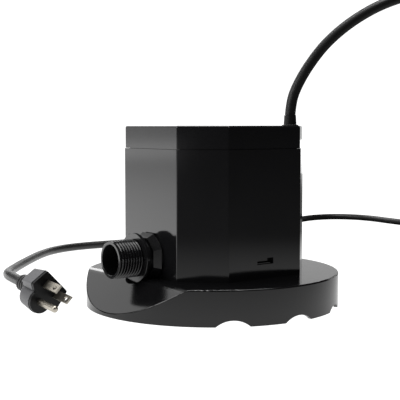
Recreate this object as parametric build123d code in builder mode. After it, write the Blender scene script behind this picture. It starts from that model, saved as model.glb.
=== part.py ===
from build123d import *
import math
import os

# Fountain submersible pump with a magnetic-drive rotor, its power cord and plug.
# Millimetres. The origin is the centre of the base's underside, +Z is up, and
# the outlet points along -Y.

os.makedirs("parts", exist_ok=True)

# ---------------------------------------------------------------- dimensions

# Round base
BASE_R = 94.0
BASE_TOP = 24.8
BASE_WALL = 2.8
DECK = 3.0
DECK_OPENING_R = 44.0
RIM_ROUND = 1.0
RAMP_START = 69.6          # distance from the axis where the ramp would leave the deck
RAMP_SLOPE = 0.9
RAMP_SHOULDER_R = 10.0
RAMP_WALL = 4.04           # upright thickness of the ramp
INLET_ARCH_R = 18.0
INLET_ARCH_DROP = 13.6     # how far the arch's centre is below the floor
INLET_ARCH_ANGLES = (61.2, 91.8, 122.4, 153.0)

# Octagonal housing and its lid
HOUSING_Y = 2.5            # the housing sits this far behind the base's centre
HOUSING_HALF = 58.5
HOUSING_LEG = 25.6
HOUSING_TOP = 115.8
WALL = 3.0
EDGE_ROUND = 1.2
LID_HALF = 58.0
LID_LEG = 25.4
LID_BOTTOM = 116.1
LID_TOP = 132.3
LID_ROUND = 1.6
LATCH_WIDTH = 14.7
LATCH_LOW = 35.0
LATCH_HIGH = 39.4

# Threaded outlet, a 3/4 inch garden hose thread
OUTLET_Z = 39.0
FACE_S = 56.0              # the housing's outlet face, measured forward from the axis
THREAD_R = 13.5
THREAD_PITCH = 2.209
THREAD_DEPTH = 1.3
THREADS = 8
NECK_R = 12.5
FLANGE_R = 17.6
MOUTH_S = 89.3
BORE_R = 10.8
PORT_R = 9.6
NUT_ACROSS_FLATS = 34.0

# Pump chamber, below a sealed roof
CHAMBER_R = 31.0
CHAMBER_WALL = 3.0
CHAMBER_LOW = 28.0
ROOF_LOW = 50.0
ROOF_TOP = 54.0
EYE_R = 12.0
BOSS_PLACE_R = 37.5
BOSS_R = 4.5

# Magnet rotor in its dry-side can
CAN_R = 14.4
CAN_BORE_R = 13.0
CAN_TOP = 104.6
SHAFT_R = 2.0
BUSH_R = 3.6
BUSH_CLEARANCE = 0.05
HUB_R = 6.0
MAGNET_R = 12.4
IMPELLER_R = 25.0
VANES = 8

# Stator, its two coils and the resin round them
CORE_LOW = 67.0
CORE_HIGH = 93.0
LEG_X = 21.0
LEG_WIDTH = 18.0
COIL_HALF = 19.3
COIL_LOW = 57.0
COIL_HIGH = 103.0
RESIN_TOP = 108.0

# Cord gland in the lid's rear corner
GLAND_X = 39.5
GLAND_Y = 42.0
CORD_R = 3.95
CORD_EXIT_Z = 140.0
STUB_LOW = 119.0

# Coil of the stored cord
COIL_CENTRE = (-140.0, 482.0)
COIL_OUTER_R = 57.0
COIL_INNER_R = 32.0
COIL_HEIGHT = 4 * CORD_R

# Three-pin plug, in a frame of its own: x across the blades, y towards the
# ground pin, z out of the face
PLUG_CENTRE = (-32.5, -118.4, 17.1)
PLUG_HEADING = 4.0
PLUG_PITCH = -6.5
PLUG_ROLL = -44.0
BLADE_X = 6.35
GROUND_PIN_Y = 11.9
PLUG_LENGTH = 33.0
PLUG_BODY_LENGTH = 21.0
CORD_AT_PLUG_Y = 4.0

# ------------------------------------------------------------------- helpers


def octagon(half, leg):
    """Corner points of a square with cut corners, its centre at the origin."""
    near = half - leg
    return [
        (half, -near), (half, near), (near, half), (-near, half),
        (-half, near), (-half, -near), (-near, -half), (near, -half),
    ]


def inset_leg(leg, distance):
    """Length of an octagon's cut corner once its outline moves in by a distance."""
    return leg - distance * (2 - math.sqrt(2))


def save(part, label):
    part.label = label
    export_step(part, f"parts/{label}.step")


def level(z):
    """A level plane on the housing's own centre line."""
    return Plane.XY.offset(z).shift_origin((0, HOUSING_Y, z))


# Sections drawn beside the outlet: x is the distance forward, y is up
SIDE = Plane(origin=(0, 0, 0), x_dir=(0, -1, 0), z_dir=(-1, 0, 0))
OUTLET = Plane(origin=(0, 0, OUTLET_Z), x_dir=(0, -1, 0), z_dir=(-1, 0, 0))
OUTLET_AXIS = Axis((0, 0, OUTLET_Z), (0, -1, 0))


def outlet_plane(s):
    """An upright plane across the outlet, at a distance forward of the axis."""
    return Plane(origin=(0, -s, OUTLET_Z), x_dir=(1, 0, 0), z_dir=(0, -1, 0))


# ---------------------------------------------------------------- base plate

half_turn = math.atan(RAMP_SLOPE) / 2
tangent = RAMP_SHOULDER_R * math.tan(half_turn)
shoulder_start = (RAMP_START - tangent, BASE_TOP)
shoulder_end = (
    RAMP_START + tangent * math.cos(2 * half_turn),
    BASE_TOP - tangent * math.sin(2 * half_turn),
)
RAMP_END_S = 110.0
ramp_end_z = BASE_TOP - RAMP_SLOPE * (RAMP_END_S - RAMP_START)

with BuildPart() as above_ramp:
    with BuildSketch(SIDE):
        with BuildLine():
            RadiusArc(shoulder_start, shoulder_end, RAMP_SHOULDER_R)
            Polyline(
                shoulder_end, (RAMP_END_S, ramp_end_z), (RAMP_END_S, 40),
                (shoulder_start[0], 40), shoulder_start,
            )
        make_face()
    extrude(amount=120, both=True)

with BuildPart() as above_ramp_wall:
    with Locations((0, 0, -RAMP_WALL)):
        add(above_ramp.part)

# The flange and the nut sit in a shallow scoop, so the deck is thicker there.
SCOOP_R = 19.0

with BuildPart() as scoop:
    with BuildSketch(outlet_plane(FACE_S)):
        Circle(SCOOP_R)
    extrude(amount=9)
    with BuildSketch(outlet_plane(FACE_S + 9)):
        Circle(FLANGE_R + 0.5)
    extrude(amount=10)

with BuildPart() as scoop_wall:
    with BuildSketch(outlet_plane(FACE_S - 2.8)):
        Circle(SCOOP_R + 2.8)
    extrude(amount=26)

with BuildPart() as inlet_arches:
    for angle in INLET_ARCH_ANGLES:
        for side in (-1, 1):
            turn = math.radians(side * angle)
            outward = (math.sin(turn), -math.cos(turn), 0)
            with BuildSketch(Plane(origin=(0, 0, -INLET_ARCH_DROP), z_dir=outward)):
                Circle(INLET_ARCH_R)
            extrude(amount=100)

with BuildPart() as arch_reach:
    with BuildSketch():
        Circle(100)
        Circle(86, mode=Mode.SUBTRACT)
    extrude(amount=10)

with BuildPart() as inlet_slots:
    add(inlet_arches.part)
    add(arch_reach.part, mode=Mode.INTERSECT)

with BuildPart() as base_hollow:
    with BuildSketch(Plane.XY.offset(-1)):
        Circle(BASE_R - BASE_WALL)
    extrude(amount=BASE_TOP - DECK + 1)
    add(above_ramp_wall.part, mode=Mode.SUBTRACT)
    add(scoop_wall.part, mode=Mode.SUBTRACT)

RIB = 2.0
RIB_X = HOUSING_HALF - WALL - 0.3 - RIB / 2
TAB_WIDTH = 13.5
TAB_TOP = 41.0
HOOK_REACH = 1.5
POST_R = 4.0
POST_PLACE_R = 66.0
STRAINER_LOW = 4.5
STRAINER_TOP = 6.5

with BuildPart() as base_plate:
    with BuildSketch():
        Circle(BASE_R)
    extrude(amount=BASE_TOP)
    add(above_ramp.part, mode=Mode.SUBTRACT)
    # The upper edge all the way round, down the ramp's sides and along its foot
    rim = base_plate.edges().filter_by(
        lambda edge: edge.geom_type != GeomType.LINE
        and edge.center().Z > 1
        and math.hypot((edge @ 0.5).X, (edge @ 0.5).Y) > BASE_R - 0.1
    )
    fillet(rim, radius=RIM_ROUND)
    add(base_hollow.part, mode=Mode.SUBTRACT)
    add(scoop.part, mode=Mode.SUBTRACT)
    add(inlet_slots.part, mode=Mode.SUBTRACT)
    with BuildSketch(Plane.XY.offset(BASE_TOP - DECK)):
        Circle(DECK_OPENING_R)
    extrude(amount=DECK, mode=Mode.SUBTRACT)
    # Locating ribs just inside the housing's side and rear walls
    with BuildSketch(level(BASE_TOP - 1)):
        with Locations((RIB_X, 0), (-RIB_X, 0)):
            Rectangle(RIB, 52)
        with Locations((0, RIB_X)):
            Rectangle(52, RIB)
    extrude(amount=5)
    # Snap tabs with their hooks in the housing's latch windows
    with BuildSketch(level(BASE_TOP)):
        with Locations((RIB_X, 0), (-RIB_X, 0)):
            Rectangle(RIB, TAB_WIDTH)
    extrude(amount=TAB_TOP - BASE_TOP)
    for side in (-1, 1):
        with BuildSketch(Plane.XZ.offset(-HOUSING_Y)):
            with BuildLine():
                root = side * (RIB_X + RIB / 2 - 0.5)
                tip = side * (RIB_X + RIB / 2 + HOOK_REACH)
                Polyline(
                    (root, LATCH_LOW + 0.2), (tip, LATCH_LOW + 0.2),
                    (tip, LATCH_LOW + 0.8), (root, LATCH_LOW + 2.2), close=True,
                )
            make_face()
        extrude(amount=TAB_WIDTH / 2, both=True)
    # Ring and posts that carry the strainer plate
    with BuildSketch(Plane.XY.offset(STRAINER_TOP)):
        Circle(84.5)
        Circle(82.0, mode=Mode.SUBTRACT)
        with PolarLocations(POST_PLACE_R, 3, start_angle=90):
            Circle(POST_R)
    extrude(amount=BASE_TOP - DECK - STRAINER_TOP)
    add(above_ramp.part, mode=Mode.SUBTRACT)
    with PolarLocations(POST_PLACE_R, 3, start_angle=90):
        with Locations((0, 0, STRAINER_TOP)):
            Cylinder(1.4, 12, align=(Align.CENTER, Align.CENTER, Align.MIN), mode=Mode.SUBTRACT)
save(base_plate.part, "base_plate")

# ------------------------------------------------------- strainer and screws

with BuildPart() as strainer_plate:
    with BuildSketch(Plane.XY.offset(STRAINER_LOW)):
        Circle(BASE_R - BASE_WALL - 0.3)
        with PolarLocations(0, 36):
            with Locations((45, 0)):
                SlotOverall(22, 2.4, mode=Mode.SUBTRACT)
        with PolarLocations(0, 18):
            with Locations((23, 0)):
                SlotOverall(14, 2.4, mode=Mode.SUBTRACT)
        with PolarLocations(POST_PLACE_R, 3, start_angle=90):
            Circle(1.7, mode=Mode.SUBTRACT)
    extrude(amount=STRAINER_TOP - STRAINER_LOW)
    add(above_ramp_wall.part, mode=Mode.SUBTRACT)
save(strainer_plate.part, "strainer_plate")

for number, place in enumerate(PolarLocations(POST_PLACE_R, 3, start_angle=90), start=1):
    with BuildPart() as strainer_screw:
        with Locations(place.position):
            with Locations((0, 0, STRAINER_LOW - 2.0)):
                Cylinder(3.4, 2.0, align=(Align.CENTER, Align.CENTER, Align.MIN))
            with Locations((0, 0, STRAINER_LOW)):
                Cylinder(1.4, 12.0, align=(Align.CENTER, Align.CENTER, Align.MIN))
            with Locations((0, 0, STRAINER_LOW - 2.0)):
                Box(4.2, 0.9, 1.2, align=(Align.CENTER, Align.CENTER, Align.MIN), mode=Mode.SUBTRACT)
                Box(0.9, 4.2, 1.2, align=(Align.CENTER, Align.CENTER, Align.MIN), mode=Mode.SUBTRACT)
    save(strainer_screw.part, f"strainer_screw_{number}")

# ------------------------------------------------------------- housing shell

LEDGE = 2.2
LEDGE_LOW = ROOF_LOW - 2.5

with BuildPart() as port_clearance:
    with BuildSketch(outlet_plane(20)):
        Circle(14.3)
    extrude(amount=FACE_S - WALL - 20)

with BuildPart() as ledge:
    with BuildSketch(level(LEDGE_LOW)):
        Polygon(*octagon(HOUSING_HALF - WALL, inset_leg(HOUSING_LEG, WALL)), align=None)
        Polygon(
            *octagon(HOUSING_HALF - WALL - LEDGE, inset_leg(HOUSING_LEG, WALL + LEDGE)),
            align=None, mode=Mode.SUBTRACT,
        )
    extrude(amount=ROOF_LOW - LEDGE_LOW)
    add(port_clearance.part, mode=Mode.SUBTRACT)

with BuildPart() as housing_shell:
    with BuildSketch(level(BASE_TOP)):
        Polygon(*octagon(HOUSING_HALF, HOUSING_LEG), align=None)
    extrude(amount=HOUSING_TOP - BASE_TOP)
    fillet(housing_shell.edges().filter_by(Axis.Z), radius=EDGE_ROUND)
    with BuildSketch(level(BASE_TOP)):
        Polygon(*octagon(HOUSING_HALF - WALL, inset_leg(HOUSING_LEG, WALL)), align=None)
    extrude(amount=HOUSING_TOP - BASE_TOP, mode=Mode.SUBTRACT)
    add(ledge.part)
    with BuildSketch(outlet_plane(FACE_S - WALL - 1)):
        Circle(NECK_R + 0.2)
    extrude(amount=WALL + 2, mode=Mode.SUBTRACT)
    with Locations((0, HOUSING_Y, (LATCH_LOW + LATCH_HIGH) / 2)):
        Box(3 * HOUSING_HALF, LATCH_WIDTH, LATCH_HIGH - LATCH_LOW, mode=Mode.SUBTRACT)
save(housing_shell.part, "housing_shell")

# ----------------------------------------------------------------------- lid

LIP_LOW = 110.5
LIP_OUT = 3.2
LIP_IN = 5.2
GLAND_R = 5.0

with BuildPart() as lid:
    with BuildSketch(level(LID_BOTTOM)):
        Polygon(*octagon(LID_HALF, LID_LEG), align=None)
    extrude(amount=LID_TOP - LID_BOTTOM)
    fillet(lid.edges().filter_by(Axis.Z), radius=EDGE_ROUND)
    fillet(lid.faces().sort_by(Axis.Z)[-1].edges(), radius=LID_ROUND)
    with BuildSketch(level(LID_BOTTOM)):
        Polygon(*octagon(LID_HALF - WALL, inset_leg(LID_LEG, WALL)), align=None)
    extrude(amount=LID_TOP - LID_BOTTOM - WALL, mode=Mode.SUBTRACT)
    # Inner lip that locates the lid in the housing
    with BuildSketch(level(LID_BOTTOM)):
        Polygon(*octagon(LID_HALF - WALL, inset_leg(LID_LEG, WALL)), align=None)
        Polygon(
            *octagon(LID_HALF - LIP_IN, inset_leg(LID_LEG, LIP_IN)),
            align=None, mode=Mode.SUBTRACT,
        )
    extrude(amount=2)
    with BuildSketch(level(LIP_LOW)):
        Polygon(*octagon(LID_HALF - LIP_OUT, inset_leg(LID_LEG, LIP_OUT)), align=None)
        Polygon(
            *octagon(LID_HALF - LIP_IN, inset_leg(LID_LEG, LIP_IN)),
            align=None, mode=Mode.SUBTRACT,
        )
    extrude(amount=LID_BOTTOM - LIP_LOW)
    with BuildSketch(Plane.XY.offset(LID_TOP - WALL - 1)):
        with Locations((GLAND_X, GLAND_Y)):
            Circle(GLAND_R)
    extrude(amount=WALL + 2, mode=Mode.SUBTRACT)
save(lid.part, "lid")

# ------------------------------------------------------- cord gland and stub

GLAND = Plane(origin=(GLAND_X, GLAND_Y, 0), x_dir=(1, 0, 0), z_dir=(0, -1, 0))
GLAND_AXIS = Axis((GLAND_X, GLAND_Y, 0), (0, 0, 1))
CRIMP_LOW = STUB_LOW + 0.5
CRIMP_TOP = 122.5

with BuildPart() as cord_gland:
    with BuildSketch(GLAND):
        with BuildLine():
            Polyline(
                (CORD_R, CRIMP_TOP), (GLAND_R, CRIMP_TOP), (GLAND_R, LID_TOP),
                (6.0, LID_TOP), (6.0, LID_TOP + 0.4), (5.6, LID_TOP + 0.7),
                (4.7, LID_TOP + 0.7), (4.3, CORD_EXIT_Z), (CORD_R, CORD_EXIT_Z), close=True,
            )
        make_face()
    revolve(axis=GLAND_AXIS)
save(cord_gland.part, "cord_gland")

with BuildPart() as cord_crimp_ring:
    with BuildSketch(Plane.XY.offset(CRIMP_LOW)):
        with Locations((GLAND_X, GLAND_Y)):
            Circle(GLAND_R)
            Circle(CORD_R, mode=Mode.SUBTRACT)
    extrude(amount=CRIMP_TOP - CRIMP_LOW)
save(cord_crimp_ring.part, "cord_crimp_ring")

with BuildPart() as cord_stub:
    with BuildSketch(Plane.XY.offset(STUB_LOW)):
        with Locations((GLAND_X, GLAND_Y)):
            Circle(CORD_R)
    extrude(amount=CORD_EXIT_Z - STUB_LOW)
save(cord_stub.part, "cord_stub")

# ------------------------------------------------------- outlet and its nut

SPIGOT_S = 36.0
SPIGOT_R = 11.5
SHOULDER_S = FACE_S - WALL
THREAD_START = 70.0
GASKET = 1.5
NUT_END_S = 62.4

with BuildPart() as outlet_adapter:
    with BuildSketch(OUTLET):
        with BuildLine():
            outline = [
                (SPIGOT_S, PORT_R), (SPIGOT_S, SPIGOT_R), (SHOULDER_S, SPIGOT_R),
                (SHOULDER_S, NECK_R), (67.5, NECK_R), (67.5, FLANGE_R - 0.3),
                (67.8, FLANGE_R), (69.7, FLANGE_R), (THREAD_START, FLANGE_R - 0.3),
                (THREAD_START, THREAD_R - THREAD_DEPTH),
            ]
            for turn in range(THREADS):
                foot = THREAD_START + 0.3 + turn * THREAD_PITCH
                outline.append((foot, THREAD_R - THREAD_DEPTH))
                outline.append((foot + 0.8, THREAD_R))
                outline.append((foot + 1.1, THREAD_R))
                outline.append((foot + 1.9, THREAD_R - THREAD_DEPTH))
            outline.append((MOUTH_S - 1.2, THREAD_R - THREAD_DEPTH))
            outline.append((MOUTH_S - 1.0, THREAD_R - 0.4))
            outline.append((MOUTH_S - 0.4, THREAD_R - 0.4))
            outline.append((MOUTH_S, THREAD_R - 0.8))
            outline.append((MOUTH_S, BORE_R + 0.3))
            outline.append((MOUTH_S - 0.3, BORE_R))
            outline.append((60.4, BORE_R))
            outline.append((60.4, PORT_R))
            Polyline(*outline, close=True)
        make_face()
    revolve(axis=OUTLET_AXIS)
save(outlet_adapter.part, "outlet_adapter")

with BuildPart() as outlet_gasket:
    with BuildSketch(outlet_plane(FACE_S)):
        Circle(16.2)
        Circle(NECK_R + 0.1, mode=Mode.SUBTRACT)
    extrude(amount=GASKET)
save(outlet_gasket.part, "outlet_gasket")

# An eight-sided nut whose flats lean in towards the flange
with BuildPart() as outlet_locknut:
    with BuildSketch(outlet_plane(FACE_S + GASKET)):
        RegularPolygon(NUT_ACROSS_FLATS / 2, 8, major_radius=False, rotation=22.5)
    with BuildSketch(outlet_plane(NUT_END_S)):
        RegularPolygon(NUT_ACROSS_FLATS / 2 - 3.0, 8, major_radius=False, rotation=22.5)
    loft()
    with BuildSketch(outlet_plane(FACE_S)):
        Circle(NECK_R + 0.05)
    extrude(amount=NUT_END_S - FACE_S + 1, mode=Mode.SUBTRACT)
save(outlet_locknut.part, "outlet_locknut")

# ------------------------------------------------------- pump chamber, wet end

with BuildPart() as volute_casing:
    with BuildSketch(Plane.XY.offset(CHAMBER_LOW)):
        Circle(CHAMBER_R + CHAMBER_WALL)
        with PolarLocations(BOSS_PLACE_R, 4, start_angle=45):
            Circle(BOSS_R)
    extrude(amount=ROOF_LOW - CHAMBER_LOW)
    with BuildSketch(outlet_plane(CHAMBER_R)):
        Circle(14)
    extrude(amount=SHOULDER_S - CHAMBER_R)
    with BuildSketch():
        Circle(CHAMBER_R + CHAMBER_WALL + 0.3)
    extrude(amount=CHAMBER_LOW, mode=Mode.SUBTRACT)
    with BuildSketch(level(ROOF_LOW)):
        Polygon(*octagon(HOUSING_HALF - WALL - 0.2, inset_leg(HOUSING_LEG, WALL + 0.2)), align=None)
    extrude(amount=ROOF_TOP - ROOF_LOW)
    with BuildSketch(Plane.XY.offset(CHAMBER_LOW)):
        Circle(CHAMBER_R)
    extrude(amount=ROOF_LOW - CHAMBER_LOW, mode=Mode.SUBTRACT)
    with BuildSketch(Plane.XY.offset(ROOF_LOW)):
        Circle(CAN_R)
    extrude(amount=ROOF_TOP - ROOF_LOW, mode=Mode.SUBTRACT)
    with BuildSketch(outlet_plane(20)):
        Circle(PORT_R)
    extrude(amount=SHOULDER_S - 20, mode=Mode.SUBTRACT)
    with BuildSketch(outlet_plane(SPIGOT_S)):
        Circle(SPIGOT_R)
    extrude(amount=SHOULDER_S - SPIGOT_S, mode=Mode.SUBTRACT)
    with BuildSketch(Plane.XY.offset(ROOF_TOP - 1.9)):
        Circle(21)
        Circle(19, mode=Mode.SUBTRACT)
    extrude(amount=1.9, mode=Mode.SUBTRACT)
    with BuildSketch(Plane.XY.offset(CHAMBER_LOW)):
        with PolarLocations(BOSS_PLACE_R, 4, start_angle=45):
            Circle(1.4)
    extrude(amount=12, mode=Mode.SUBTRACT)
save(volute_casing.part, "volute_casing")

COVER_LOW = 25.2
SEAT_LOW = 25.6
SEAT_R = 4.2
SPIDER_R = 6.2
SPIDER_LOW = 23.5

with BuildPart() as volute_cover:
    with BuildSketch(Plane.XY.offset(COVER_LOW)):
        Circle(CHAMBER_R + CHAMBER_WALL)
        with PolarLocations(BOSS_PLACE_R, 4, start_angle=45):
            Circle(BOSS_R)
        Circle(EYE_R, mode=Mode.SUBTRACT)
    extrude(amount=CHAMBER_LOW - COVER_LOW)
    with BuildSketch(Plane.XY.offset(18)):
        Circle(EYE_R + 2)
        Circle(EYE_R, mode=Mode.SUBTRACT)
    extrude(amount=COVER_LOW - 18)
    with BuildSketch(Plane.XY.offset(SPIDER_LOW)):
        Circle(SPIDER_R)
        with PolarLocations(EYE_R / 2 + 1, 3):
            Rectangle(EYE_R, 2)
    extrude(amount=CHAMBER_LOW - SPIDER_LOW)
    with BuildSketch(Plane.XY.offset(SEAT_LOW)):
        Circle(SEAT_R)
    extrude(amount=CHAMBER_LOW - SEAT_LOW, mode=Mode.SUBTRACT)
    with BuildSketch(Plane.XY.offset(CHAMBER_LOW - 1.6)):
        Circle(33.3)
        Circle(31.7, mode=Mode.SUBTRACT)
    extrude(amount=1.6, mode=Mode.SUBTRACT)
    with BuildSketch(Plane.XY.offset(COVER_LOW)):
        with PolarLocations(BOSS_PLACE_R, 4, start_angle=45):
            Circle(1.7)
    extrude(amount=CHAMBER_LOW - COVER_LOW, mode=Mode.SUBTRACT)
save(volute_cover.part, "volute_cover")

for number, place in enumerate(PolarLocations(BOSS_PLACE_R, 4, start_angle=45), start=1):
    with BuildPart() as volute_screw:
        with Locations(place.position):
            with Locations((0, 0, COVER_LOW - 2.4)):
                Cylinder(2.9, 2.4, align=(Align.CENTER, Align.CENTER, Align.MIN))
            with Locations((0, 0, COVER_LOW)):
                Cylinder(1.4, 14.0, align=(Align.CENTER, Align.CENTER, Align.MIN))
            with Locations((0, 0, COVER_LOW - 2.4)):
                Box(3.6, 0.8, 1.2, align=(Align.CENTER, Align.CENTER, Align.MIN), mode=Mode.SUBTRACT)
                Box(0.8, 3.6, 1.2, align=(Align.CENTER, Align.CENTER, Align.MIN), mode=Mode.SUBTRACT)
    save(volute_screw.part, f"volute_screw_{number}")

with BuildPart() as volute_oring:
    with Locations((0, 0, CHAMBER_LOW - 0.8)):
        Torus(32.5, 0.8)
save(volute_oring.part, "volute_oring")

with BuildPart() as can_oring:
    with Locations((0, 0, ROOF_TOP - 0.95)):
        Torus(20, 0.95)
save(can_oring.part, "can_oring")

# ---------------------------------------------------------- rotor and its can

CAN = Plane(origin=(0, 0, 0), x_dir=(1, 0, 0), z_dir=(0, -1, 0))
SEAT_TOP_LOW = 98.6
SHAFT_TOP = 103.0

with BuildPart() as rotor_can:
    with BuildSketch(CAN):
        with BuildLine():
            Polyline(
                (CAN_BORE_R, ROOF_LOW), (CAN_R, ROOF_LOW), (CAN_R, ROOF_TOP), (30, ROOF_TOP),
                (30, ROOF_TOP + 2), (CAN_R, ROOF_TOP + 2), (CAN_R, CAN_TOP), (0, CAN_TOP),
                (0, SHAFT_TOP), (SEAT_R, SHAFT_TOP), (SEAT_R, SEAT_TOP_LOW),
                (SEAT_R + 2, SEAT_TOP_LOW), (SEAT_R + 2, SHAFT_TOP), (CAN_BORE_R, SHAFT_TOP),
                close=True,
            )
        make_face()
    revolve(axis=Axis.Z)
save(rotor_can.part, "rotor_can")

with BuildPart() as ceramic_shaft:
    with BuildSketch(Plane.XY.offset(SEAT_LOW)):
        Circle(SHAFT_R)
    extrude(amount=SHAFT_TOP - SEAT_LOW)
save(ceramic_shaft.part, "ceramic_shaft")


def save_ring(label, inner, outer, low, high):
    """A plain ring on the rotor's axis."""
    with BuildPart() as ring:
        with BuildSketch(Plane.XY.offset(low)):
            Circle(outer)
            Circle(inner, mode=Mode.SUBTRACT)
        extrude(amount=high - low)
    save(ring.part, label)


save_ring("shaft_seat_lower", SHAFT_R, SEAT_R, SEAT_LOW, 29.4)
save_ring("shaft_seat_upper", SHAFT_R, SEAT_R, SEAT_TOP_LOW, SHAFT_TOP)
save_ring("thrust_washer_lower", SHAFT_R, SEAT_R, 29.4, 30.1)
save_ring("thrust_washer_upper", SHAFT_R, SEAT_R, 97.9, SEAT_TOP_LOW)

HUB_LOW = 30.5
HUB_TOP = 97.5
BUSH_LENGTH = 8.0
save_ring("rotor_bush_lower", SHAFT_R + BUSH_CLEARANCE, BUSH_R, HUB_LOW, HUB_LOW + BUSH_LENGTH)
save_ring("rotor_bush_upper", SHAFT_R + BUSH_CLEARANCE, BUSH_R, HUB_TOP - BUSH_LENGTH, HUB_TOP)
save_ring("rotor_magnet", HUB_R, MAGNET_R, 58.0, 96.5)

with BuildPart() as rotor_hub:
    with BuildSketch(Plane.XY.offset(HUB_LOW)):
        Circle(HUB_R)
        Circle(BUSH_R - 1, mode=Mode.SUBTRACT)
    extrude(amount=HUB_TOP - HUB_LOW)
    for low in (HUB_LOW, HUB_TOP - BUSH_LENGTH):
        with BuildSketch(Plane.XY.offset(low)):
            Circle(BUSH_R)
        extrude(amount=BUSH_LENGTH, mode=Mode.SUBTRACT)
save(rotor_hub.part, "rotor_hub")

with BuildPart() as impeller:
    with BuildSketch(Plane.XY.offset(HUB_LOW)):
        Circle(8)
        with PolarLocations((8 + IMPELLER_R) / 2 - 0.5, VANES):
            Rectangle(IMPELLER_R - 8 + 1, 1.6)
    extrude(amount=15)
    with BuildSketch(Plane.XY.offset(HUB_LOW + 15)):
        Circle(IMPELLER_R)
    extrude(amount=2)
    with BuildSketch(Plane.XY.offset(HUB_LOW)):
        Circle(HUB_R)
    extrude(amount=17, mode=Mode.SUBTRACT)
save(impeller.part, "impeller")

# -------------------------------------------------------- stator and its coils

CORE_FRONT = -19.0
WINDOW_FRONT = 17.0
WINDOW_BACK = 42.0
CORE_BACK = 56.0
CORE_BORE = 15.0
POLE_GAP = 3.0
BOBBIN_FRONT = 17.3
BOBBIN_BACK = 41.7
BOBBIN_FLANGE = 1.2

with BuildPart() as stator_core:
    with BuildSketch(Plane.XY.offset(CORE_LOW)):
        with Locations((0, (CORE_FRONT + CORE_BACK) / 2)):
            Rectangle(2 * LEG_X + LEG_WIDTH, CORE_BACK - CORE_FRONT)
        with Locations((0, (WINDOW_FRONT + WINDOW_BACK) / 2)):
            Rectangle(2 * LEG_X - LEG_WIDTH, WINDOW_BACK - WINDOW_FRONT, mode=Mode.SUBTRACT)
        Circle(CORE_BORE, mode=Mode.SUBTRACT)
        with Locations((0, (CORE_FRONT + WINDOW_FRONT) / 2)):
            Rectangle(POLE_GAP, WINDOW_FRONT - CORE_FRONT + 0.2, mode=Mode.SUBTRACT)
    extrude(amount=CORE_HIGH - CORE_LOW)
save(stator_core.part, "stator_core")

LEG_Z = (CORE_LOW + CORE_HIGH) / 2
COIL_SIZE_Z = COIL_HIGH - COIL_LOW
coil_parts = []

for side, name in ((-1, "left"), (1, "right")):
    with BuildPart() as coil_bobbin:
        for y in (BOBBIN_FRONT, BOBBIN_BACK - BOBBIN_FLANGE):
            with Locations((side * LEG_X, y + BOBBIN_FLANGE / 2, LEG_Z)):
                Box(2 * COIL_HALF, BOBBIN_FLANGE, COIL_SIZE_Z)
        with Locations((side * LEG_X, (BOBBIN_FRONT + BOBBIN_BACK) / 2, LEG_Z)):
            Box(LEG_WIDTH + 2.4, BOBBIN_BACK - BOBBIN_FRONT, CORE_HIGH - CORE_LOW + 2.4)
            Box(
                LEG_WIDTH, BOBBIN_BACK - BOBBIN_FRONT + 2, CORE_HIGH - CORE_LOW,
                mode=Mode.SUBTRACT,
            )
    save(coil_bobbin.part, f"coil_bobbin_{name}")
    coil_parts.append(coil_bobbin.part)

    with BuildPart() as coil_winding:
        with Locations((side * LEG_X, (BOBBIN_FRONT + BOBBIN_BACK) / 2, LEG_Z)):
            wire_length = BOBBIN_BACK - BOBBIN_FRONT - 2 * BOBBIN_FLANGE
            Box(2 * COIL_HALF - 2, wire_length, COIL_SIZE_Z - 2)
            Box(
                LEG_WIDTH + 2.4, wire_length, CORE_HIGH - CORE_LOW + 2.4,
                mode=Mode.SUBTRACT,
            )
    save(coil_winding.part, f"coil_winding_{name}")
    coil_parts.append(coil_winding.part)

# Brass tabs that stand out of the resin, and the cutout beside them
TAB_TOP_Z = 113.0
TABS = {
    "terminal_live": (8.0, 40.9, COIL_HIGH),
    "terminal_neutral": (-8.0, 40.9, COIL_HIGH),
    "terminal_ground": (0.0, 52.0, CORE_HIGH),
}
tab_parts = []
for label, (x, y, low) in TABS.items():
    with BuildPart() as terminal:
        with Locations((x, y, (low + TAB_TOP_Z) / 2)):
            Box(6.0, 0.8, TAB_TOP_Z - low)
    save(terminal.part, label)
    tab_parts.append(terminal.part)

with BuildPart() as thermal_protector:
    with Locations((22, 22, RESIN_TOP + 2)):
        Box(14, 7, 4)
save(thermal_protector.part, "thermal_protector")

# ---------------------------------------------------- leads inside the housing

LEAD_R = 1.0


def wire(label, points, bend):
    """A round wire of the lead's size along straight runs with rounded corners."""
    with BuildPart() as lead:
        with BuildLine():
            FilletPolyline(*points, radius=bend)
        first = Vector(*points[1]) - Vector(*points[0])
        with BuildSketch(Plane(origin=points[0], z_dir=first)):
            Circle(LEAD_R)
        sweep()
    save(lead.part, label)


wire("lead_live", [(41.2, 42, STUB_LOW), (41.2, 42, 110), (41.2, 22, 110), (29, 22, 110)], 3)
wire("lead_live_link", [(15, 22, 110), (8, 22, 110), (8, 40.5, 110)], 3)
wire(
    "lead_neutral",
    [
        (38.4, 40.6, STUB_LOW), (38.4, 40.6, 113.5), (18, 47, 113.5),
        (-8, 49, 110.5), (-8, 41.3, 110.5),
    ],
    2,
)
wire(
    "lead_ground",
    [(38.4, 43.6, STUB_LOW), (38.4, 43.6, 112), (28, 52, 110.8), (3, 52, 110.8)],
    2,
)

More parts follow.
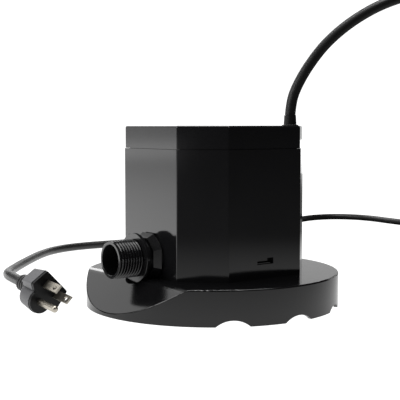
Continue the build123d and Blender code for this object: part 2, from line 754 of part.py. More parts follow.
# The resin fills the housing above the chamber roof, round everything in it.
with BuildPart() as potting_resin:
    with BuildSketch(level(ROOF_TOP)):
        Polygon(*octagon(HOUSING_HALF - WALL - 0.05, inset_leg(HOUSING_LEG, WALL + 0.05)), align=None)
    extrude(amount=RESIN_TOP - ROOF_TOP)
    with BuildSketch(Plane.XY.offset(ROOF_TOP)):
        Circle(30)
    extrude(amount=2, mode=Mode.SUBTRACT)
    with BuildSketch(Plane.XY.offset(ROOF_TOP)):
        Circle(CAN_R)
    extrude(amount=CAN_TOP - ROOF_TOP, mode=Mode.SUBTRACT)
    add(stator_core.part, mode=Mode.SUBTRACT)
    for sealed in coil_parts + tab_parts:
        add(sealed, mode=Mode.SUBTRACT)
save(potting_resin.part, "potting_resin")

# ------------------------------------------------------------------ power cord

RISE = [
    (39.5, 42.0, 140.0), (39.6, 42.9, 150.0), (41.1, 46.7, 161.0), (45.0, 54.4, 176.0),
    (51.9, 66.0, 193.5), (62.5, 82.8, 210.0), (76.5, 103.0, 223.5), (94.0, 129.0, 232.0),
    (110.5, 158.0, 230.0), (123.0, 190.0, 214.0), (130.5, 220.0, 184.0),
    (132.5, 246.0, 147.0), (132.0, 269.0, 108.0), (129.5, 293.0, 70.0),
    (124.0, 320.0, 36.0), (113.0, 350.0, 14.0), (94.0, 383.0, 3.95), (62.0, 417.0, 3.95),
    (22.0, 448.0, 3.95), (-23.0, 475.0, 3.95), (-61.0, 495.0, 3.95), (-93.5, 509.9, 3.95),
]
RUN = [
    (-140.0, 536.2, 11.85), (-200.0, 537.0, 5.95), (-247.0, 538.0, 3.95),
    (-288.0, 539.5, 3.95), (-321.0, 543.0, 3.95), (-352.0, 548.0, 3.95),
    (-381.0, 543.5, 3.95), (-403.5, 526.0, 3.95), (-411.0, 497.0, 3.95),
    (-404.5, 467.0, 3.95), (-391.5, 435.0, 3.95), (-375.0, 397.0, 3.95),
    (-355.5, 347.0, 3.95), (-340.5, 290.0, 3.95), (-326.0, 226.0, 3.95),
    (-320.0, 166.0, 3.95), (-321.5, 117.0, 3.95), (-325.0, 81.5, 3.95),
    (-322.0, 54.0, 3.95), (-310.0, 29.0, 3.95), (-290.0, 5.5, 3.95),
    (-264.0, -18.5, 3.95), (-236.0, -43.0, 3.95), (-206.5, -65.0, 5.0),
    (-176.0, -82.8, 8.2), (-146.0, -97.6, 12.0), (-118.0, -110.2, 15.8),
    (-92.0, -120.4, 18.8),
]


def bend_radii(points):
    """The arc at each inner corner: 0.45 of the shorter run beside it is its tangent."""
    radii = []
    for before, corner, after in zip(points, points[1:], points[2:]):
        first = Vector(*corner) - Vector(*before)
        second = Vector(*after) - Vector(*corner)
        half = math.radians(first.get_angle(second)) / 2
        radii.append(0.45 * min(first.length, second.length) / math.tan(half))
    return radii


def cord(label, points):
    """A round tube of the cord's size along straight runs joined by tangent arcs."""
    radii = bend_radii(points)
    print(label, "bend radii", [round(radius) for radius in radii])
    with BuildPart() as tube:
        with BuildLine():
            FilletPolyline(*points, radius=radii)
        start = Vector(*points[1]) - Vector(*points[0])
        with BuildSketch(Plane(origin=points[0], z_dir=start)):
            Circle(CORD_R)
        sweep()
    save(tube.part, label)


# Directions of the plug: out of its face, and from its blades to its ground pin
heading = math.radians(PLUG_HEADING)
pitch = math.radians(PLUG_PITCH)
roll = math.radians(PLUG_ROLL)
plug_out = Vector(
    math.cos(pitch) * math.cos(heading),
    math.cos(pitch) * math.sin(heading),
    math.sin(pitch),
)
down = Vector(0, 0, -1)
plug_down = (down - plug_out * down.dot(plug_out)).normalized()
plug_side = plug_out.cross(plug_down)
plug_pin = plug_down * math.cos(roll) + plug_side * math.sin(roll)
plug_across = plug_pin.cross(plug_out)
PLUG = Plane(origin=PLUG_CENTRE, x_dir=plug_across, z_dir=plug_out)
plug_end = PLUG.from_local_coords(Vector(0, CORD_AT_PLUG_Y, -PLUG_LENGTH))

cord("power_cord_rise", RISE)
cord("power_cord_run", RUN + [(plug_end.X, plug_end.Y, plug_end.Z)])

with BuildPart() as power_cord_coil:
    with BuildSketch():
        with Locations(COIL_CENTRE):
            Circle(COIL_OUTER_R)
            Circle(COIL_INNER_R, mode=Mode.SUBTRACT)
    extrude(amount=COIL_HEIGHT)
save(power_cord_coil.part, "power_cord_coil")

TIE_WIDTH = 8.0
TIE = 1.2
with BuildPart() as cord_tie:
    coil_middle = (COIL_OUTER_R + COIL_INNER_R) / 2
    coil_width = COIL_OUTER_R - COIL_INNER_R
    with Locations((COIL_CENTRE[0], COIL_CENTRE[1] - coil_middle, 0)):
        Box(
            TIE_WIDTH, coil_width + 2 * TIE, COIL_HEIGHT + TIE,
            align=(Align.CENTER, Align.CENTER, Align.MIN),
        )
        with Locations((0, 0, TIE)):
            Box(
                TIE_WIDTH, coil_width, COIL_HEIGHT - TIE,
                align=(Align.CENTER, Align.CENTER, Align.MIN), mode=Mode.SUBTRACT,
            )
save(cord_tie.part, "cord_tie")

# ------------------------------------------------------------------------ plug

INSERT = 2.4
BLADE_ROOT = -6.0
BLADE_TIP = 17.0
PIN_TIP = 21.0

with BuildPart() as plug_blades:
    with BuildSketch(PLUG.offset(BLADE_ROOT)):
        with Locations((-BLADE_X, 0), (BLADE_X, 0)):
            Rectangle(1.5, 6.35)
    extrude(amount=BLADE_TIP - BLADE_ROOT)
    with BuildSketch(Plane(origin=PLUG.origin, x_dir=plug_pin, z_dir=plug_across)):
        with Locations((0, 12.9)):
            Circle(1.7)
    extrude(amount=20, both=True, mode=Mode.SUBTRACT)

with BuildPart() as plug_ground_pin:
    with BuildSketch(PLUG.offset(BLADE_ROOT)):
        with Locations((0, GROUND_PIN_Y)):
            Circle(2.4)
    extrude(amount=PIN_TIP - BLADE_ROOT)
    tip_edge = plug_ground_pin.edges().filter_by(GeomType.CIRCLE).sort_by(
        lambda edge: edge.center().X
    )[-1]
    fillet(tip_edge, radius=2.0)
save(plug_ground_pin.part, "plug_ground_pin")

for number, blade in enumerate(plug_blades.solids(), start=1):
    save(blade, f"plug_blade_{number}")


def plug_outline(size):
    """The plug's outline: a wedge round the blades and a lobe for the ground pin.

    It is full size at the face and shrinks towards the cord's own line behind it.
    """
    corners = [(12.2, -7.6), (14.9, 6.6), (10.4, 9.0), (-10.4, 9.0), (-14.9, 6.6), (-12.2, -7.6)]
    with Locations((0, CORD_AT_PLUG_Y)):
        with BuildSketch(mode=Mode.PRIVATE) as wedge:
            Polygon(*[(size * x, size * (y - CORD_AT_PLUG_Y)) for x, y in corners], align=None)
            fillet(wedge.vertices(), radius=1.4 * size)
        add(wedge.sketch)
        with Locations((0, size * (11.4 - CORD_AT_PLUG_Y))):
            Circle(8.8 * size)


with BuildPart() as plug_insert:
    with BuildSketch(PLUG.offset(-INSERT)):
        plug_outline(0.98)
    extrude(amount=INSERT)
    add(plug_blades.part, mode=Mode.SUBTRACT)
    add(plug_ground_pin.part, mode=Mode.SUBTRACT)
save(plug_insert.part, "plug_insert")

with BuildPart() as plug_body:
    with BuildSketch(PLUG.offset(-INSERT)):
        plug_outline(1.0)
    with BuildSketch(PLUG.offset(-PLUG_BODY_LENGTH + 4)):
        plug_outline(0.88)
    with BuildSketch(PLUG.offset(-PLUG_BODY_LENGTH)):
        plug_outline(0.68)
    loft(ruled=True)
    add(plug_blades.part, mode=Mode.SUBTRACT)
    add(plug_ground_pin.part, mode=Mode.SUBTRACT)
save(plug_body.part, "plug_body")

RELIEF_R = 6.2
RIBS = 4
with BuildPart() as plug_strain_relief:
    with BuildSketch(Plane(origin=plug_end, x_dir=plug_out, z_dir=plug_across)):
        with BuildLine():
            relief_length = PLUG_LENGTH - PLUG_BODY_LENGTH
            step = relief_length / RIBS
            outline = [(0, 0)]
            for rib in range(RIBS):
                outline.append((rib * step, RELIEF_R + 0.15 * rib))
                outline.append((rib * step + 1.8, RELIEF_R + 0.15 * rib))
                outline.append((rib * step + 1.8, RELIEF_R - 1.2))
                outline.append(((rib + 1) * step, RELIEF_R - 1.2))
            outline.append((relief_length, 0))
            Polyline(*outline, close=True)
        make_face()
    revolve(axis=Axis(plug_end, plug_out))
save(plug_strain_relief.part, "plug_strain_relief")
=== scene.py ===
# %% [markdown]
# # A fountain submersible pump
# The pump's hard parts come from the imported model, which this script loads as a
# fixed frame. What is added here is how they look: the power cord in its real
# curves, the finish of each plastic and metal, and a plain white studio. All
# sizes are in metres, except for the cord's route, which is in millimetres.

# %% Load the frame
import math

import bpy
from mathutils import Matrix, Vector


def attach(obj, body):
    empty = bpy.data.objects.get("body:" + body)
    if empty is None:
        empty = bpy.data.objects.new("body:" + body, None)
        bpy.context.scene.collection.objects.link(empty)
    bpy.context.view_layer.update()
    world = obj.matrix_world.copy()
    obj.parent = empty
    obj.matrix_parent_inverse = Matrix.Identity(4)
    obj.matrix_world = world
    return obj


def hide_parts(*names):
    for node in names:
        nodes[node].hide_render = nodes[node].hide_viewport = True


MM = 0.001
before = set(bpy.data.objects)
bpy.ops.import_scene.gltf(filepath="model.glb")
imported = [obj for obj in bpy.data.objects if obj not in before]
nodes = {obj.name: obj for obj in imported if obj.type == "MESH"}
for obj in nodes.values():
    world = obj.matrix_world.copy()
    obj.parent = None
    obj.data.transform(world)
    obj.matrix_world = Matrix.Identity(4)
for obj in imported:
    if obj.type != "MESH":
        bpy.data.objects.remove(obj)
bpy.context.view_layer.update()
print("CAD nodes:", len(nodes))

# %% [markdown]
# ## The camera
# A small object on a table is shot with a short telephoto lens, a little above
# the lid, so that its upright edges stay upright and its lid is almost a line.

# %% Place the camera
CAMERA_PLACE = Vector((0.57010, -0.43599, 0.13257))
CAMERA_LOOK = Vector((-0.79955, 0.59559, -0.07741))
CAMERA_LENS = 86.61
SENSOR_WIDTH = 36.0

camera_data = bpy.data.cameras.new("camera")
camera_data.lens = CAMERA_LENS
camera_data.sensor_width = SENSOR_WIDTH
camera_data.clip_start = 0.01
camera_data.clip_end = 50.0
camera = bpy.data.objects.new("camera", camera_data)
camera.location = CAMERA_PLACE
camera.rotation_euler = CAMERA_LOOK.to_track_quat("-Z", "Y").to_euler()
bpy.context.scene.collection.objects.link(camera)
bpy.context.scene.camera = camera
bpy.context.scene.view_settings.view_transform = "Standard"
print("camera lens", CAMERA_LENS, "mm")

# %% [markdown]
# ## The power cord
# The cord is one length of round jacketed cable. It rises out of the lid, bends
# over, drops to the floor behind the pump, lies in a tied coil and comes round
# the far side to its plug. It could be a chain of straight tubes, but one NURBS
# curve with listed control points gives a line without kinks. A loop adds
# the coil, because turns are easier to say as an angle and a radius.

# %% The cord's route
CORD_R = 3.95
CORD_EXIT = (39.5, 42.0, 140.0)     # the hole at the back of the lid
RISE = [
    CORD_EXIT, (39.6, 42.9, 150.0), (41.1, 46.7, 161.0), (45.0, 54.4, 176.0),
    (51.9, 66.0, 193.5), (62.5, 82.8, 210.0), (76.5, 103.0, 223.5), (94.0, 129.0, 232.0),
    (110.5, 158.0, 230.0), (123.0, 190.0, 214.0), (130.5, 220.0, 184.0),
    (132.5, 246.0, 147.0), (132.0, 269.0, 108.0), (129.5, 293.0, 70.0),
    (124.0, 320.0, 36.0), (113.0, 350.0, 14.0), (94.0, 383.0, 3.95), (62.0, 417.0, 3.95),
    (22.0, 448.0, 3.95), (-23.0, 475.0, 3.95), (-61.0, 495.0, 3.95),
]
RUN = [
    (-200.0, 537.0, 5.95), (-247.0, 538.0, 3.95),
    (-288.0, 539.5, 3.95), (-321.0, 543.0, 3.95), (-352.0, 548.0, 3.95),
    (-381.0, 543.5, 3.95), (-403.5, 526.0, 3.95), (-411.0, 497.0, 3.95),
    (-404.5, 467.0, 3.95), (-391.5, 435.0, 3.95), (-375.0, 397.0, 3.95),
    (-355.5, 347.0, 3.95), (-340.5, 290.0, 3.95), (-326.0, 226.0, 3.95),
    (-320.0, 166.0, 3.95), (-321.5, 117.0, 3.95), (-325.0, 81.5, 3.95),
    (-322.0, 54.0, 3.95), (-310.0, 29.0, 3.95), (-290.0, 5.5, 3.95),
    (-264.0, -18.5, 3.95), (-236.0, -43.0, 3.95), (-206.5, -65.0, 5.0),
    (-176.0, -82.8, 8.2), (-146.0, -97.6, 12.0), (-118.0, -110.2, 15.8),
    (-92.0, -120.4, 18.8), (-65.33, -123.56, 17.99),
]

# %% [markdown]
# The stored part of the cord is a flat coil of two layers. It winds inwards on
# the floor, climbs one cord's thickness, and winds outwards again on top.

# %% The coil's turns
COIL_CENTRE = (-140.0, 482.0)
COIL_START = 31.0
COIL_END = 90.0 + 4 * 360.0
COIL_POINTS_A_TURN = 12
COIL_OUTER = 52.4
COIL_STEP = 8.0            # one turn lies this far inside the next
TURNS_IN = 2               # turns wound inwards, and as many wound out again
STEP_UP_AT = 1.9           # where the cord climbs on to its second layer
STEP_UP_TURNS = 0.25


def coil_points():
    """Control points that wind in, step up one layer, and wind out again."""
    steps = round((COIL_END - COIL_START) / (360 / COIL_POINTS_A_TURN))
    bulge = math.cos(math.pi / COIL_POINTS_A_TURN)
    points = []
    for step in range(steps + 1):
        degrees = COIL_START + (COIL_END - COIL_START) * step / steps
        turns = (degrees - COIL_START) / 360
        from_outside = min(turns, max(0.0, 2 * TURNS_IN - turns))
        radius = (COIL_OUTER - COIL_STEP * from_outside) / bulge
        layer = min(1.0, max(0.0, (turns - STEP_UP_AT) / STEP_UP_TURNS))
        angle = math.radians(degrees)
        points.append((
            COIL_CENTRE[0] + radius * math.cos(angle),
            COIL_CENTRE[1] + radius * math.sin(angle),
            CORD_R * (1 + 2 * layer),
        ))
    return points


# %% Draw the cord
STEPS_A_POINT = 8
ROUNDNESS = 6


def nurbs_curve(name, points, radius):
    """A smooth round tube whose control points are given in millimetres.

    The points carry the thickness and the bevel is one metre deep, because a
    curve's box grows by its points' radius and would otherwise be metres wide.
    """
    data = bpy.data.curves.new(name, "CURVE")
    data.dimensions = "3D"
    spline = data.splines.new("NURBS")
    spline.points.add(len(points) - 1)
    for point, (x, y, z) in zip(spline.points, points):
        point.co = (x * MM, y * MM, z * MM, 1.0)
        point.radius = radius * MM
    spline.order_u = 3
    spline.use_endpoint_u = True
    spline.resolution_u = STEPS_A_POINT
    data.bevel_depth = 1.0
    data.bevel_resolution = ROUNDNESS
    data.use_fill_caps = True
    curve = bpy.data.objects.new(name, data)
    bpy.context.scene.collection.objects.link(curve)
    return curve


power_cord = nurbs_curve("power_cord", RISE + coil_points() + RUN, CORD_R)
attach(power_cord, "pump")
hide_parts("power_cord_rise", "power_cord_coil", "power_cord_run")
print("cord control points:", len(power_cord.data.splines[0].points))

# %% [markdown]
# ## Shared surface effects
# Moulded plastic is never perfectly even. It has a faint cloudiness where the
# melt flowed, and a fine grain from the mould. Every finish here uses both, so
# they are one node group, built once, and each material only sets how strong
# and how large they are.

# %% Helpers for node trees
def add_node(tree, kind, **settings):
    """Adds one node and sets its plain settings or the defaults of its sockets."""
    node = tree.nodes.new(kind)
    for name, value in settings.items():
        if name in node.inputs:
            node.inputs[name].default_value = value
        else:
            setattr(node, name.lower(), value)
    return node


def new_group(name, inputs, outputs):
    """An empty shader group with float sockets that have the given names."""
    tree = bpy.data.node_groups.new(name, "ShaderNodeTree")
    for label, kind, default in inputs:
        socket = tree.interface.new_socket(label, in_out="INPUT", socket_type=kind)
        if default is not None:
            socket.default_value = default
    for label, kind in outputs:
        tree.interface.new_socket(label, in_out="OUTPUT", socket_type=kind)
    return tree, tree.nodes.new("NodeGroupInput"), tree.nodes.new("NodeGroupOutput")


# %% Cloudy moulding and mould grain
def moulding_group():
    """Clouds in colour and gloss, and a faint texture height, at a given grain size."""
    tree, inside, outside = new_group(
        "moulded surface",
        [
            ("Vector", "NodeSocketVector", None),
            ("Colour", "NodeSocketColor", (0.5, 0.5, 0.5, 1)),
            ("Cloud Colour", "NodeSocketColor", (0.5, 0.5, 0.5, 1)),
            ("Cloud Scale", "NodeSocketFloat", 30.0),
            ("Grain Scale", "NodeSocketFloat", 900.0),
            ("Roughness", "NodeSocketFloat", 0.3),
            ("Roughness Spread", "NodeSocketFloat", 0.1),
        ],
        [
            ("Colour", "NodeSocketColor"),
            ("Roughness", "NodeSocketFloat"),
            ("Height", "NodeSocketFloat"),
        ],
    )
    clouds = add_node(tree, "ShaderNodeTexNoise", Detail=4.0, Roughness=0.6)
    grain = add_node(tree, "ShaderNodeTexNoise", Detail=2.0)
    mix = add_node(tree, "ShaderNodeMix")
    mix.data_type = "RGBA"
    spread = add_node(tree, "ShaderNodeMath", Operation="MULTIPLY_ADD")
    centred = add_node(tree, "ShaderNodeMath", Operation="SUBTRACT")
    centred.inputs[1].default_value = 0.5
    link = tree.links.new
    for texture, scale in ((clouds, "Cloud Scale"), (grain, "Grain Scale")):
        link(inside.outputs["Vector"], texture.inputs["Vector"])
        link(inside.outputs[scale], texture.inputs["Scale"])
    link(clouds.outputs["Fac"], mix.inputs["Factor"])
    link(inside.outputs["Colour"], mix.inputs["A"])
    link(inside.outputs["Cloud Colour"], mix.inputs["B"])
    link(clouds.outputs["Fac"], centred.inputs[0])
    link(centred.outputs[0], spread.inputs[0])
    link(inside.outputs["Roughness Spread"], spread.inputs[1])
    link(inside.outputs["Roughness"], spread.inputs[2])
    link(mix.outputs["Result"], outside.inputs["Colour"])
    link(spread.outputs[0], outside.inputs["Roughness"])
    link(grain.outputs["Fac"], outside.inputs["Height"])
    return tree


moulding = moulding_group()
print("group sockets:", [item.name for item in moulding.interface.items_tree])

# %% [markdown]
# ## Finishes
# Each finish is a Principled BSDF fed by the moulding group. One function takes
# the numbers that tell finishes apart, because the wiring between the nodes is
# the same for every moulded, cast or drawn surface on the pump.

# %% Make a finish
def finish(
    name, colour, cloud, roughness, spread=0.1, clouds=25.0, grain=900.0, bump=0.05,
    depth=0.0002, metallic=0.0, ior=1.5,
):
    """A material whose colour, gloss and relief vary as a moulded surface does."""
    material = bpy.data.materials.new(name)
    material.use_nodes = True
    tree = material.node_tree
    shader = tree.nodes["Principled BSDF"]
    shader.inputs["Metallic"].default_value = metallic
    shader.inputs["IOR"].default_value = ior
    place = tree.nodes.new("ShaderNodeTexCoord")
    group = tree.nodes.new("ShaderNodeGroup")
    group.node_tree = moulding
    values = {
        "Colour": (*colour, 1), "Cloud Colour": (*cloud, 1), "Cloud Scale": clouds,
        "Grain Scale": grain, "Roughness": roughness, "Roughness Spread": spread,
    }
    for socket, value in values.items():
        group.inputs[socket].default_value = value
    relief = tree.nodes.new("ShaderNodeBump")
    relief.inputs["Strength"].default_value = bump
    relief.inputs["Distance"].default_value = depth
    link = tree.links.new
    link(place.outputs["Object"], group.inputs["Vector"])
    link(group.outputs["Colour"], shader.inputs["Base Color"])
    link(group.outputs["Roughness"], shader.inputs["Roughness"])
    link(group.outputs["Height"], relief.inputs["Height"])
    link(relief.outputs["Normal"], shader.inputs["Normal"])
    return material


def wear(material, *labels):
    """Gives a finish to CAD nodes through their own material slots."""
    for label in labels:
        slots = nodes[label].material_slots
        for one in slots:
            one.material = material
        if not slots:
            nodes[label].data.materials.append(material)


# %% [markdown]
# ### The black housing
# The housing is ABS from a polished mould: almost black, with a clear mirror in
# its flat sides. Low roughness does the mirror, and a slow change of gloss over
# the large flats keeps them from looking like glass. The base, the outlet and
# the plug's face are the same kind of plastic with a little less polish.

# %% Housing finish
housing_black = finish(
    "housing black", (0.006, 0.006, 0.0065), (0.010, 0.010, 0.011), roughness=0.10,
    spread=0.06, clouds=14.0, grain=1500.0, bump=0.04, depth=0.00005,
)
base_black = finish(
    "base black", (0.003, 0.003, 0.0033), (0.006, 0.006, 0.0065), roughness=0.13,
    spread=0.06, clouds=18.0, grain=1500.0, bump=0.06, depth=0.00006,
)
wear(housing_black, "housing_shell", "lid")
wear(base_black, "base_plate")

fitting_black = finish(
    "fitting black", (0.007, 0.007, 0.0075), (0.012, 0.012, 0.013), roughness=0.16,
    spread=0.10, clouds=60.0, grain=2500.0, bump=0.04, depth=0.00005,
)
wear(fitting_black, "outlet_adapter", "outlet_locknut")
insert_black = finish(
    "insert black", (0.004, 0.004, 0.0045), (0.007, 0.007, 0.0075), roughness=0.35,
    spread=0.10, clouds=60.0, grain=2500.0, bump=0.04, depth=0.00005, ior=1.3,
)
wear(insert_black, "plug_insert")
strainer_black = finish(
    "strainer black", (0.016, 0.016, 0.016), (0.026, 0.026, 0.026), roughness=0.45,
)
wear(strainer_black, "strainer_plate")

# %% [markdown]
# ### Cord, gland and plug
# The cord's jacket is soft vinyl with a sheen along its side, the plug's body is
# a firmer grey vinyl, and the blades are nickel-plated brass, warm and soft in
# their reflections.

# %% Soft black and grey vinyls, nickel
cord_black = finish(
    "cord black", (0.006, 0.006, 0.006), (0.010, 0.010, 0.010), roughness=0.42,
    spread=0.12, clouds=40.0, grain=2500.0, bump=0.05, depth=0.00004, ior=1.42,
)
power_cord.data.materials.append(cord_black)
wear(cord_black, "cord_stub", "cord_gland", "cord_tie")
rubber_black = finish(
    "rubber black", (0.012, 0.012, 0.012), (0.020, 0.020, 0.020), roughness=0.5,
    spread=0.15, grain=3000.0, bump=0.1, depth=0.00006,
)
wear(rubber_black, "outlet_gasket", "plug_strain_relief")
plug_grey = finish(
    "plug grey", (0.085, 0.085, 0.09), (0.12, 0.12, 0.125), roughness=0.46,
    spread=0.15, clouds=80.0, grain=2500.0, bump=0.12, depth=0.00006,
)
wear(plug_grey, "plug_body")
nickel = finish(
    "nickel plate", (0.46, 0.43, 0.37), (0.56, 0.52, 0.45), roughness=0.34,
    spread=0.2, clouds=120.0, grain=3000.0, bump=0.08, depth=0.00003, metallic=1.0,
)
wear(nickel, "plug_blade_1", "plug_blade_2", "plug_ground_pin")

# %% [markdown]
# ### Inside the pump
# The parts inside only show when someone opens the model up, but each still has
# its own finish: moulded chamber, ceramic bearings, ferrite magnet, steel core,
# enamelled copper, resin and insulated leads.

# %% Inner finishes
INNER = [
    ("chamber grey", (0.035, 0.035, 0.04), (0.055, 0.055, 0.06), 0.4, 0.0,
     ["volute_casing", "volute_cover", "rotor_can"]),
    ("impeller grey", (0.42, 0.43, 0.45), (0.52, 0.53, 0.55), 0.4, 0.0,
     ["impeller", "rotor_hub"]),
    ("seal black", (0.012, 0.012, 0.012), (0.022, 0.022, 0.022), 0.55, 0.0,
     ["volute_oring", "can_oring", "shaft_seat_lower", "shaft_seat_upper"]),
    ("stainless screw", (0.50, 0.50, 0.51), (0.62, 0.62, 0.63), 0.3, 1.0,
     ["cord_crimp_ring"] + [f"strainer_screw_{n}" for n in (1, 2, 3)]
     + [f"volute_screw_{n}" for n in (1, 2, 3, 4)]),
    ("core steel", (0.20, 0.20, 0.21), (0.30, 0.29, 0.29), 0.5, 1.0, ["stator_core"]),
    ("ferrite", (0.045, 0.045, 0.05), (0.07, 0.07, 0.075), 0.5, 0.0, ["rotor_magnet"]),
    ("ceramic", (0.78, 0.77, 0.72), (0.85, 0.84, 0.80), 0.2, 0.0,
     ["ceramic_shaft", "rotor_bush_lower", "rotor_bush_upper",
      "thrust_washer_lower", "thrust_washer_upper"]),
    ("enamelled copper", (0.60, 0.22, 0.08), (0.72, 0.32, 0.14), 0.3, 1.0,
     ["coil_winding_left", "coil_winding_right"]),
    ("natural nylon", (0.68, 0.65, 0.55), (0.76, 0.74, 0.65), 0.45, 0.0,
     ["coil_bobbin_left", "coil_bobbin_right"]),
    ("black resin", (0.015, 0.013, 0.012), (0.03, 0.026, 0.022), 0.25, 0.0,
     ["potting_resin"]),
    ("terminal brass", (0.66, 0.47, 0.20), (0.76, 0.58, 0.28), 0.25, 1.0,
     ["terminal_live", "terminal_neutral", "terminal_ground"]),
    ("protector white", (0.70, 0.70, 0.67), (0.78, 0.78, 0.75), 0.5, 0.0,
     ["thermal_protector"]),
    ("lead black", (0.015, 0.015, 0.015), (0.025, 0.025, 0.025), 0.4, 0.0,
     ["lead_live", "lead_live_link"]),
    ("lead white", (0.75, 0.75, 0.72), (0.82, 0.82, 0.80), 0.4, 0.0, ["lead_neutral"]),
    ("lead green", (0.02, 0.22, 0.05), (0.03, 0.30, 0.08), 0.4, 0.0, ["lead_ground"]),
]
for name, colour, cloud, roughness, metallic, labels in INNER:
    wear(finish(name, colour, cloud, roughness, metallic=metallic), *labels)
print("materials:", len(bpy.data.materials))

# %% [markdown]
# ## The studio
# A glossy black product has almost no colour of its own: it shows what it
# reflects. So the room is lit unevenly on purpose. The sweep under the pump
# glows on its left side and falls off with distance, and the side nearest the
# camera stays dark, which is what makes one flat of the housing grey and the
# next one black. The camera itself sees plain white everywhere.

# %% The sweep's sizes and glow
SEEN_WHITE = 1.2            # what the camera sees: just past plain white
FLOOR_HALF = 6.0
FLOOR_GREY = 0.03           # dark, so that the lamps add almost nothing to the glow
LIT_WAY = (-0.8, -0.6, 0.0)
LIT_EDGE = (0.06, 0.32)     # how far along LIT_WAY the dark side turns into the lit one
LIT_REACH = (0.5, 2.5)      # the glow changes between these distances from the pump
LIT_SIDE = (2.2, 1.35)      # the lit side's glow, near and far
DARK_REACH = (0.12, 0.50)
DARK_SIDE = (0.85, 0.04)


def map_range(tree, reach, glow=(0.0, 1.0)):
    """A node that turns one span of values into another."""
    return add_node(tree, "ShaderNodeMapRange", **{
        "From Min": reach[0], "From Max": reach[1], "To Min": glow[0], "To Max": glow[1],
    })


# %% [markdown]
# The sweep's glow is worked out in its material. Light Path tells the camera's
# own rays from all others, and a dot product says on which side of the pump a
# point lies. Emission is used, and not lamps on a white floor, because each
# side can then be set on its own.

# %% Sweep
def sweep_material():
    """White to the camera, and brighter on its lit side to everything else."""
    material = bpy.data.materials.new("white sweep")
    material.use_nodes = True
    tree = material.node_tree
    shader = tree.nodes["Principled BSDF"]
    shader.inputs["Base Color"].default_value = (FLOOR_GREY, FLOOR_GREY, FLOOR_GREY, 1)
    shader.inputs["Roughness"].default_value = 0.9
    shader.inputs["Emission Color"].default_value = (1, 1, 1, 1)
    place = tree.nodes.new("ShaderNodeTexCoord")
    towards = add_node(tree, "ShaderNodeVectorMath", Operation="DOT_PRODUCT")
    towards.inputs[1].default_value = LIT_WAY
    away = add_node(tree, "ShaderNodeVectorMath", Operation="LENGTH")
    side = map_range(tree, LIT_EDGE)
    lit = map_range(tree, LIT_REACH, LIT_SIDE)
    dark = map_range(tree, DARK_REACH, DARK_SIDE)
    glow = tree.nodes.new("ShaderNodeMix")
    rays = tree.nodes.new("ShaderNodeLightPath")
    choose = add_node(tree, "ShaderNodeMix", B=SEEN_WHITE)
    link = tree.links.new
    link(place.outputs["Object"], towards.inputs[0])
    link(place.outputs["Object"], away.inputs[0])
    link(towards.outputs["Value"], side.inputs["Value"])
    link(away.outputs["Value"], lit.inputs["Value"])
    link(away.outputs["Value"], dark.inputs["Value"])
    link(side.outputs["Result"], glow.inputs["Factor"])
    link(dark.outputs["Result"], glow.inputs["A"])
    link(lit.outputs["Result"], glow.inputs["B"])
    link(rays.outputs["Is Camera Ray"], choose.inputs["Factor"])
    link(glow.outputs["Result"], choose.inputs["A"])
    link(choose.outputs["Result"], shader.inputs["Emission Strength"])
    return material


floor_mesh = bpy.data.meshes.new("floor")
floor_mesh.from_pydata(
    [
        (-FLOOR_HALF, -FLOOR_HALF, 0), (FLOOR_HALF, -FLOOR_HALF, 0),
        (FLOOR_HALF, FLOOR_HALF, 0), (-FLOOR_HALF, FLOOR_HALF, 0),
    ],
    [], [(0, 1, 2, 3)],
)
floor_mesh.materials.append(sweep_material())
floor = bpy.data.objects.new("floor", floor_mesh)
bpy.context.scene.collection.objects.link(floor)
print("sweep:", 2 * FLOOR_HALF, "m across")

# %% [markdown]
# The world works the same way as the sweep: white where the camera looks past
# the floor, and nearly black in the reflections, so that only the sweep and the
# softboxes shape them.

# %% World: white to the eye, dim in the reflections
DIM_ROOM = 0.02

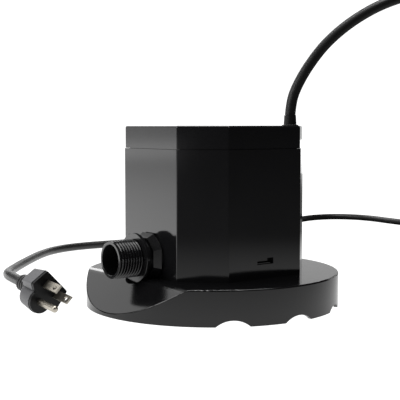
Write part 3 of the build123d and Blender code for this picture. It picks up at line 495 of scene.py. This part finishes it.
world = bpy.data.worlds.new("studio")
bpy.context.scene.world = world
world.use_nodes = True
sky = world.node_tree
sky.nodes.clear()
output = sky.nodes.new("ShaderNodeOutputWorld")
seen = add_node(sky, "ShaderNodeBackground", Color=(1, 1, 1, 1), Strength=SEEN_WHITE)
dim = add_node(sky, "ShaderNodeBackground", Color=(1, 1, 1, 1), Strength=DIM_ROOM)
choose = sky.nodes.new("ShaderNodeMixShader")
rays = sky.nodes.new("ShaderNodeLightPath")
sky.links.new(rays.outputs["Is Camera Ray"], choose.inputs["Fac"])
sky.links.new(dim.outputs[0], choose.inputs[1])
sky.links.new(seen.outputs[0], choose.inputs[2])
sky.links.new(choose.outputs[0], output.inputs["Surface"])


# %% [markdown]
# Each softbox stands where one surface looks for its reflection. The left one
# is for the ramp, the front one for the ridges of the thread, the two at the
# back for the top of the base, the lit wall for the upper part of the housing's
# outlet side, and the two overhead for edges that face upwards, such as the
# base's rounded rim.

# %% Softboxes
MIDDLE = (0.0, 0.0, 0.07)
SOFTBOXES = [               # name, place, width, height, power in watts
    ("softbox left", (-1.30, -0.12, 1.00), 1.5, 1.0, 5.2),
    ("softbox front", (-0.32, -1.22, 0.80), 1.0, 0.5, 8.0),
    ("softbox back left", (-1.35, 0.70, 0.75), 0.9, 0.6, 5.0),
    ("lit wall", (-2.60, -2.00, 0.45), 2.6, 1.0, 9.0),
    ("backdrop", (-1.30, 1.40, 0.25), 2.6, 0.5, 2.6),
    ("strip overhead", (-0.25, 0.10, 1.45), 1.5, 0.35, 14.0),
    ("strobe", (0.36, -0.02, 1.52), 0.45, 0.45, 9.0),
]


def softbox(name, place, width, height, power):
    """A rectangular area light that faces the middle of the pump."""
    data = bpy.data.lights.new(name, "AREA")
    data.shape = "RECTANGLE"
    data.size = width
    data.size_y = height
    data.energy = power
    lamp = bpy.data.objects.new(name, data)
    lamp.location = place
    lamp.rotation_euler = (Vector(MIDDLE) - Vector(place)).to_track_quat("-Z", "Y").to_euler()
    lamp.visible_camera = False
    bpy.context.scene.collection.objects.link(lamp)


for name, place, width, height, power in SOFTBOXES:
    softbox(name, place, width, height, power)
print("softboxes:", len(SOFTBOXES))
